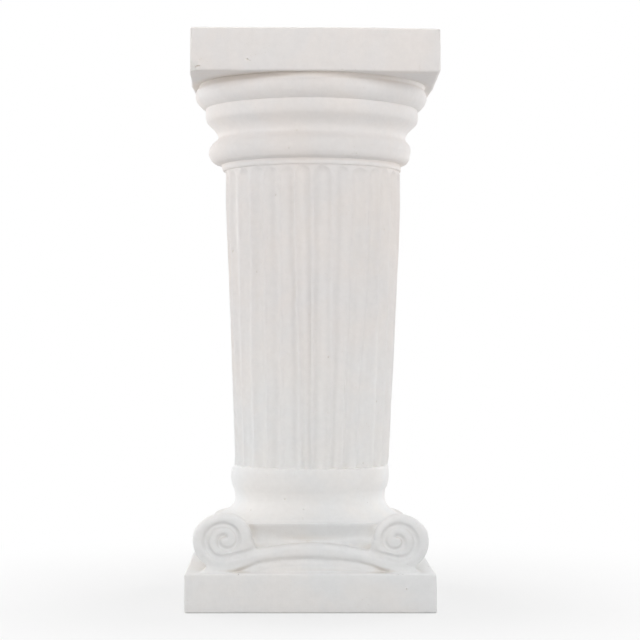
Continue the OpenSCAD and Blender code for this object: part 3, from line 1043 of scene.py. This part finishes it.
def chip_shape(marks):
    """Rough lump that broke off the top slab's lower corner, as points and faces in millimetres."""
    draw = np.random.default_rng(marks.seed + 5)
    # The break's face runs from the corner's upright edge to the underside
    rows = []
    for t in np.linspace(-0.12, 1.12, 15):
        row = []
        for u in np.linspace(-0.25, 1.25, 13):
            x = -148.5 + 12.5 * t - (2 + 12.5 * t) * (u - 0.14) / 0.62
            z = 670.5 - 24.5 * t
            y = -153 + 21 * u
            bump = draw.uniform(-0.8, 0.5)
            row.append((x + bump, y + 0.6 * bump, z + draw.uniform(-0.5, 0.5)))
        rows.append(row)
    front = [p for row in rows for p in row]
    far = [(x - 30, y, z - 18) for x, y, z in front]
    count, wide, high = len(front), len(rows[0]), len(rows)
    faces = []
    for k in range(high - 1):
        for j in range(wide - 1):
            a, b, c, d = k * wide + j, k * wide + j + 1, (k + 1) * wide + j + 1, (k + 1) * wide + j
            faces += [(a, b, c, d), (count + d, count + c, count + b, count + a)]
    rim = [*range(wide), *[(k + 1) * wide - 1 for k in range(1, high)]]
    rim += [(high - 1) * wide + j for j in range(wide - 2, -1, -1)]
    rim += [k * wide for k in range(high - 2, 0, -1)]
    for a, b in zip(rim, rim[1:] + rim[:1]):
        faces.append((b, a, count + a, count + b))
    return front + far, faces


def cutters(obj, marks):
    """One mesh of the air holes, crack and knocks that are cut out of the casting."""
    tree = BVHTree.FromObject(obj, bpy.context.evaluated_depsgraph_get())
    points, faces = [], []

    def add(shape, place):
        start = len(points)
        points.extend(tuple((c + p) * MM for c, p in zip(corner, place)) for corner in shape[0])
        faces.extend(tuple(start + i for i in f) for f in shape[1])

    for number, (x, z, wide, high, deep) in enumerate(HOLES):
        hit = tree.ray_cast(Vector((x * MM, -0.4, z * MM)), Vector((0, 1, 0)))[0]
        if hit is not None:
            add(blob(number, (wide, deep, high), 0.25), (x, hit.y / MM, z))
    draw = np.random.default_rng(marks.seed)
    # Hair crack at the right of the top slab's lower edge
    for k, z in enumerate(np.linspace(647.5, 653.0, 4)):
        add(blob(k, (0.5, 1.6, 2.2), 0.2), (129 + 0.4 * math.sin(k), -150.0, z))
    # Small knocks along the slabs' edges: every fourth would fall on the edge at the floor, which stays whole
    half, top = HALF_WIDTH / MM, HEIGHT / MM
    levels = (None, 46.6, top - 52.6, top - 0.4)
    for number in range(marks.knocks):
        level = levels[number % len(levels)]
        along = draw.uniform(-half + 4, half - 4)
        x, y = [(along, -half), (half, along), (along, half), (-half, along)][draw.integers(4)]
        size = draw.uniform(1.6, 4.2, 3)
        if level is not None:
            hit = tree.find_nearest(Vector((x * MM, y * MM, level * MM)))[0]
            add(blob(100 + number, size, 0.3), (hit.x / MM, hit.y / MM, hit.z / MM))
    return put("holes", mesh_of(points, faces))


def scatter_tree():
    """Balls of many sizes scattered over a surface, where air was caught in the casting."""
    tree, wire, start, end = new_tree(
        "Air holes", "GeometryNodeTree",
        [("Geometry", "geometry", None), ("Density", "float", 70.0), ("Smallest", "float", 0.0005),
         ("Largest", "float", 0.0013), ("Seed", "int", 11), ("Material", "material", None)],
        [("Geometry", "geometry")])
    given = start.outputs
    spots = wire.node("GeometryNodeDistributePointsOnFaces", {
        "Mesh": given["Geometry"], "Density": given["Density"], "Seed": given["Seed"]},
        distribute_method="RANDOM")
    ball = wire.node("GeometryNodeMeshIcoSphere", {"Radius": 1.0, "Subdivisions": 2})
    balls = wire.node("GeometryNodeInstanceOnPoints", {
        "Points": spots.outputs["Points"], "Instance": ball.outputs["Mesh"],
        "Scale": wire.chance(given["Smallest"], given["Largest"], given["Seed"])})
    close_tree(wire, end, balls.outputs[0], given["Material"])
    return tree


def shade_masks(obj, rays):
    """Writes how closed in each point is as "recess", which the plaster uses for its painted shade and dust,
    and which points are broken plaster as "broken".
    """
    mesh = obj.data
    count = len(mesh.vertices)
    reach, off = 0.022, 0.0006
    tree = BVHTree.FromObject(obj, bpy.context.evaluated_depsgraph_get())
    draw = np.random.default_rng(3)
    spread = draw.normal(size=(rays, 3))
    spread /= np.linalg.norm(spread, axis=1)[:, None]
    spread = [Vector(v) * 0.9 for v in spread]
    recess = np.zeros(count)
    for index, vertex in enumerate(mesh.vertices):
        normal = vertex.normal
        at = vertex.co + normal * off
        near = 0.0
        for way in spread:
            hit = tree.ray_cast(at, (normal + way).normalized(), reach)
            if hit[3] is not None:
                near += 1 - hit[3] / reach
        recess[index] = near / rays
    broken = np.zeros(count)
    for face in mesh.polygons:
        if face.material_index == 1:
            broken[list(face.vertices)] = 1.0
    for name, values in (("recess", recess), ("broken", broken)):
        layer = mesh.attributes.new(name, "FLOAT", "POINT")
        layer.data.foreach_set("value", values.astype(np.float32))


def uneven_tree():
    """Pushes a surface in and out along its normals by soft noise, less near the floor."""
    tree, wire, start, end = new_tree(
        "Uneven casting", "GeometryNodeTree",
        [("Geometry", "geometry", None), ("Height", "float", 0.0009), ("Seed", "float", 3.0),
         ("Material", "material", None)],
        [("Geometry", "geometry")])
    given = start.outputs
    place = wire.node("GeometryNodeInputPosition").outputs[0]
    normal = wire.node("GeometryNodeInputNormal").outputs[0]
    level = wire.node("ShaderNodeSeparateXYZ", {"Vector": place}).outputs["Z"]
    broad = wire.noise(place, 11.0, 2.0, given["Seed"])
    small = wire.noise(place, 55.0, 2.0, given["Seed"])
    push = wire.sum("ADD", wire.sum("MULTIPLY", wire.sum("SUBTRACT", broad, 0.5), 2.0),
                    wire.sum("MULTIPLY", wire.sum("SUBTRACT", small, 0.5), 0.7))
    push = wire.sum("MULTIPLY", wire.sum("MULTIPLY", push, given["Height"]),
                    wire.span(level, 0.0005, 0.006, 0.0, 1.0, True))
    moved = wire.node("GeometryNodeSetPosition", {
        "Geometry": given["Geometry"], "Offset": wire.vector("SCALE", normal, push)})
    close_tree(wire, end, moved.outputs[0], given["Material"])
    return tree


class COLUMN_OT_casting(bpy.types.Operator):
    """Join the shells into one casting, with its marks and its plaster"""
    bl_idname = "column.casting"
    bl_label = "One casting"

    def execute(self, context):
        marks = context.scene.column_marks
        material = plaster_material(context.scene.column_look)
        obj = unite("plaster_column", ["shaft", "mouldings", "capital", "foot slab", "top slab"])
        settle(obj.data, marks)
        add_nodes(obj, uneven_tree(), height=marks.uneven, seed=float(marks.seed), material=material)
        rework(obj)
        air = put("air", obj.data.copy())
        add_nodes(air, scatter_tree(), density=marks.pinholes, seed=marks.seed, material=material)
        rework(air)
        holes = cutters(obj, marks)
        points, faces = chip_shape(marks)
        chip = put("chip", outward(mesh_of([(x * MM, y * MM, z * MM) for x, y, z in points], faces)))
        # The second material only marks the faces that the chip leaves, until they are written as "broken"
        fresh = bpy.data.materials.get("Broken plaster") or bpy.data.materials.new("Broken plaster")
        dress(obj.data, material, fresh)
        dress(air.data, material)
        dress(holes.data, material)
        dress(chip.data, fresh)
        combine(obj, ["air", "holes", "chip"], "DIFFERENCE")
        checked(obj.data, "the marks didn't cut")
        shade_masks(obj, 12)
        dress(obj.data, material)
        obj.data.shade_smooth()
        obj.data.set_sharp_from_angle(angle=math.radians(38))
        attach(obj, "root")
        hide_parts("column")
        return {"FINISHED"}


# Stage

def stage_floor():
    """A wide white floor that keeps the column's soft shadow."""
    mesh = bpy.data.meshes.new("floor")
    shape = bmesh.new()
    bmesh.ops.create_grid(shape, x_segments=1, y_segments=1, size=12)
    shape.to_mesh(mesh)
    shape.free()
    obj = put("floor", mesh)
    material = bpy.data.materials.new("White floor")
    material.use_nodes = True
    material.node_tree.nodes.clear()
    wire = Wiring(material.node_tree)
    seen = wire.node("ShaderNodeLightPath").outputs["Is Camera Ray"]
    # The floor throws less light up at the column than it shows
    tone = wire.mix(seen, (0.55, 0.55, 0.55, 1), (0.82, 0.82, 0.82, 1))
    matte = wire.node("ShaderNodeBsdfDiffuse", {"Color": tone})
    glow = wire.node("ShaderNodeEmission", {"Color": (1, 1, 1, 1), "Strength": 1.0})
    split = wire.node("ShaderNodeSeparateXYZ", {"Vector": wire.node("ShaderNodeTexCoord").outputs["Object"]})
    far = wire.sum("ADD", *[wire.sum("POWER", split.outputs[k], 2.0) for k in range(2)])
    far = wire.sum("SQRT", far)
    share = wire.sum("MULTIPLY", seen, wire.span(far, 0.15, 0.75, 0.55, 1.0, True))
    mixed = wire.node("ShaderNodeMixShader", {0: share, 1: matte.outputs[0], 2: glow.outputs[0]})
    wire.node("ShaderNodeOutputMaterial", {"Surface": mixed.outputs[0]})
    mesh.materials.append(material)


# Name, place, size and strength of each soft lamp, all aimed at the column's middle
LAMPS = (
    ("lamp over", (0.0, 0.0, 3.2), 2.2, 50.0),
    ("lamp front", (-0.8, -3.5, 0.8), 2.0, 21.0),
    ("lamp left", (-3.0, 0.3, 1.2), 2.0, 10.0),
    ("lamp front left", (-2.4, -2.0, 1.6), 1.8, 13.5),
    ("lamp front right", (2.4, -2.0, 1.6), 1.8, 17.0),
    ("lamp back left", (-2.2, 2.0, 1.4), 2.0, 27.5),
    ("lamp back right", (2.2, 2.0, 1.4), 2.0, 26.5),
    ("lamp high front", (0.4, -2.4, 1.6), 1.2, 14.0),
    ("lamp low front", (0.0, -3.2, 0.4), 0.7, 10.0),
    ("lamp low left", (-2.4, 0.2, 0.4), 0.7, 11.0),
    ("lamp low right", (2.4, 0.2, 0.4), 0.7, 12.0),
    ("lamp low back left", (-1.8, 1.8, 0.4), 0.7, 10.0),
    ("lamp low back right", (1.8, 1.8, 0.4), 0.7, 13.0),
)


class COLUMN_OT_stage(bpy.types.Operator):
    """Set up the floor, the soft lamps, the room light and the camera"""
    bl_idname = "column.stage"
    bl_label = "Stage"

    def execute(self, context):
        scene = context.scene
        stage = scene.column_stage
        stage_floor()
        aim = Vector((0, 0, HEIGHT / 2))
        for name, place, size, strength in LAMPS:
            lamp = bpy.data.lights.new(name, "AREA")
            lamp.shape = "SQUARE"
            lamp.size = size
            lamp.energy = strength
            obj = bpy.data.objects.new(name, lamp)
            obj.location = place
            obj.rotation_euler = (aim - Vector(place)).to_track_quat("-Z", "Y").to_euler()
            scene.collection.objects.link(obj)
        world = scene.world or bpy.data.worlds.new("Room")
        scene.world = world
        world.use_nodes = True
        world.node_tree.nodes.clear()
        wire = Wiring(world.node_tree)
        path = wire.node("ShaderNodeLightPath")
        seen = wire.sum("MAXIMUM", path.outputs["Is Camera Ray"], wire.sum(
            "MAXIMUM", path.outputs["Is Glossy Ray"], path.outputs["Is Transmission Ray"]))
        room = wire.node("ShaderNodeBackground", {"Color": (1.0, 1.0, 1.0, 1), "Strength": stage.sky})
        white = wire.node("ShaderNodeBackground", {"Color": (1, 1, 1, 1), "Strength": 1.0})
        mixed = wire.node("ShaderNodeMixShader", {0: seen, 1: room.outputs[0], 2: white.outputs[0]})
        wire.node("ShaderNodeOutputWorld", {"Surface": mixed.outputs[0]})
        camera = bpy.data.cameras.new("camera")
        camera.lens = stage.lens
        camera.sensor_width = 36.0
        camera.clip_end = 60.0
        obj = bpy.data.objects.new("camera", camera)
        obj.location = (stage.side, -stage.distance, stage.height)
        obj.rotation_euler = (math.pi / 2 + stage.pitch, 0, 0)
        scene.collection.objects.link(obj)
        scene.camera = obj
        scene.view_settings.view_transform = "Standard"
        return {"FINISHED"}


STEPS = (COLUMN_OT_slabs, COLUMN_OT_shaft, COLUMN_OT_mouldings, COLUMN_OT_capital, COLUMN_OT_casting,
         COLUMN_OT_stage)


class COLUMN_PT_panel(bpy.types.Panel):
    """Lists the steps that make the column"""
    bl_label = "Plaster column"
    bl_idname = "COLUMN_PT_panel"
    bl_space_type = "VIEW_3D"
    bl_region_type = "UI"
    bl_category = "Column"

    def draw(self, context):
        for item in STEPS:
            self.layout.operator(item.bl_idname)


GROUPS = {"column_slabs": SlabSizes, "column_shaft": ShaftSizes, "column_mouldings": MouldingSizes,
          "column_capital": CapitalSizes, "column_marks": CastingMarks, "column_look": PlasterLook,
          "column_stage": StageSettings}


def register():
    for item in (*GROUPS.values(), *STEPS, COLUMN_PT_panel):
        bpy.utils.register_class(item)
    for name, group in GROUPS.items():
        setattr(bpy.types.Scene, name, PointerProperty(type=group))


def unregister():
    for name in GROUPS:
        delattr(bpy.types.Scene, name)
    for item in reversed((*GROUPS.values(), *STEPS, COLUMN_PT_panel)):
        bpy.utils.unregister_class(item)


def main():
    register()
    bpy.ops.column.slabs()
    bpy.ops.column.shaft()
    bpy.ops.column.mouldings()
    bpy.ops.column.capital()
    bpy.ops.column.casting()
    bpy.ops.column.stage()
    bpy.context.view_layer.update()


if __name__ == "__main__":
    main()
